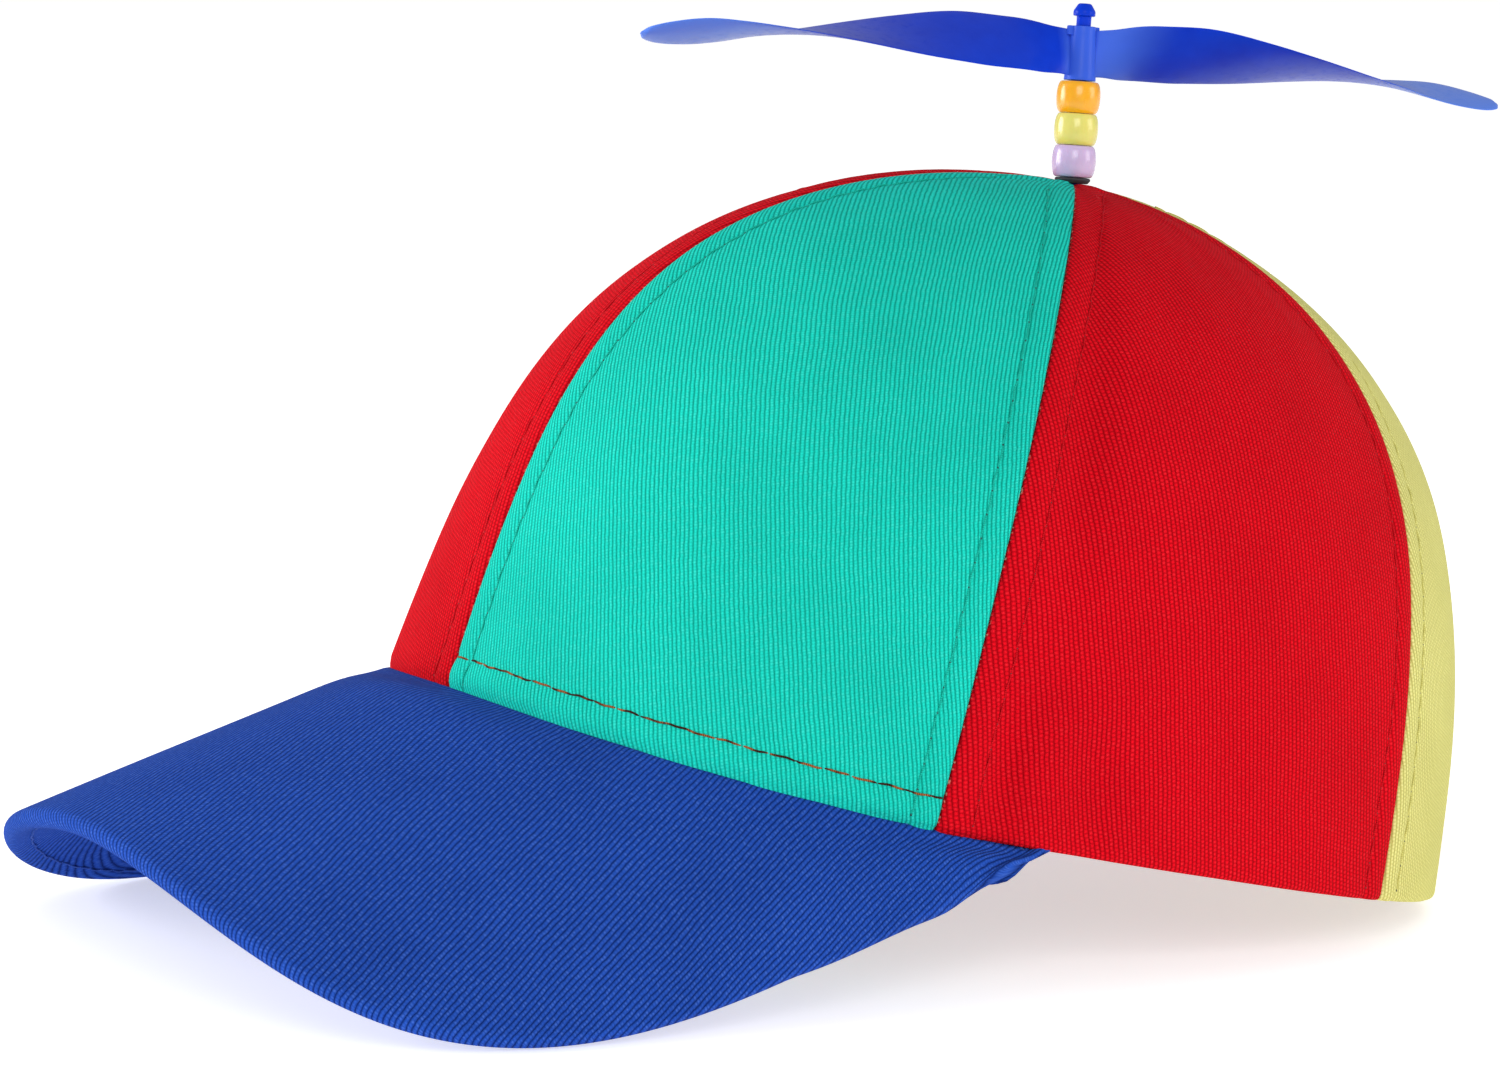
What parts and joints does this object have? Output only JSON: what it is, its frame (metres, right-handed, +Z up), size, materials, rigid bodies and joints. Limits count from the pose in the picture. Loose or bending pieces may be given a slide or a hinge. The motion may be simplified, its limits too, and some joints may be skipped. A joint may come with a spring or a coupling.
{
  "type": "propeller beanie",
  "caption": "Cloth cap of six coloured panels with a bent stiff peak, and a plastic propeller spinning on a beaded pin at its top.",
  "frame": {"origin": "under the middle of the whole object, on the surface that the cap stands on", "axes": "+Z up, the peak points along -Y, X runs across the cap; the cap stands as it rests by itself, on the back of its rim and the two low edges of its peak"},
  "size_m": [0.1728, 0.2922, 0.1695],
  "materials": {
    "cloth_green": "green cotton twill, matte",
    "cloth_red": "red cotton twill, matte",
    "cloth_yellow": "pale yellow cotton twill, matte",
    "cloth_blue": "blue cotton twill, matte",
    "washer_dark": "dark grey, satin",
    "plastic_blue": "blue moulded plastic, glossy",
    "bead_lilac": "lilac opaque bead, glossy",
    "bead_yellow": "yellow pearly bead, glossy",
    "bead_orange": "orange pearly bead, glossy"
  },
  "bodies": {
    "cap": {"panel_front_left": "cloth_green", "panel_side_left": "cloth_red", "panel_back_left": "cloth_yellow", "panel_back_right": "cloth_red", "panel_side_right": "cloth_blue", "panel_front_right": "cloth_red", "peak": "cloth_blue", "top_washer": "washer_dark", "pin": "plastic_blue"},
    "bead_lower": {"bead_lower": "bead_lilac"},
    "bead_middle": {"bead_middle": "bead_yellow"},
    "bead_upper": {"bead_upper": "bead_orange"},
    "propeller": {"propeller": "plastic_blue"}
  },
  "joints": [
    {"name": "propeller_spin", "type": "hinge", "parent": "cap", "child": "propeller", "pos_m": [-0.00119, 0.05928, 0.15489], "axis": [-0.061, 0.094, 0.9937], "continuous": true},
    {"name": "bead_lower_spin", "type": "hinge", "parent": "cap", "child": "bead_lower", "pos_m": [-0.00119, 0.05928, 0.15489], "axis": [-0.061, 0.094, 0.9937], "continuous": true},
    {"name": "bead_middle_spin", "type": "hinge", "parent": "cap", "child": "bead_middle", "pos_m": [-0.00119, 0.05928, 0.15489], "axis": [-0.061, 0.094, 0.9937], "continuous": true},
    {"name": "bead_upper_spin", "type": "hinge", "parent": "cap", "child": "bead_upper", "pos_m": [-0.00119, 0.05928, 0.15489], "axis": [-0.061, 0.094, 0.9937], "continuous": true}
  ]
}
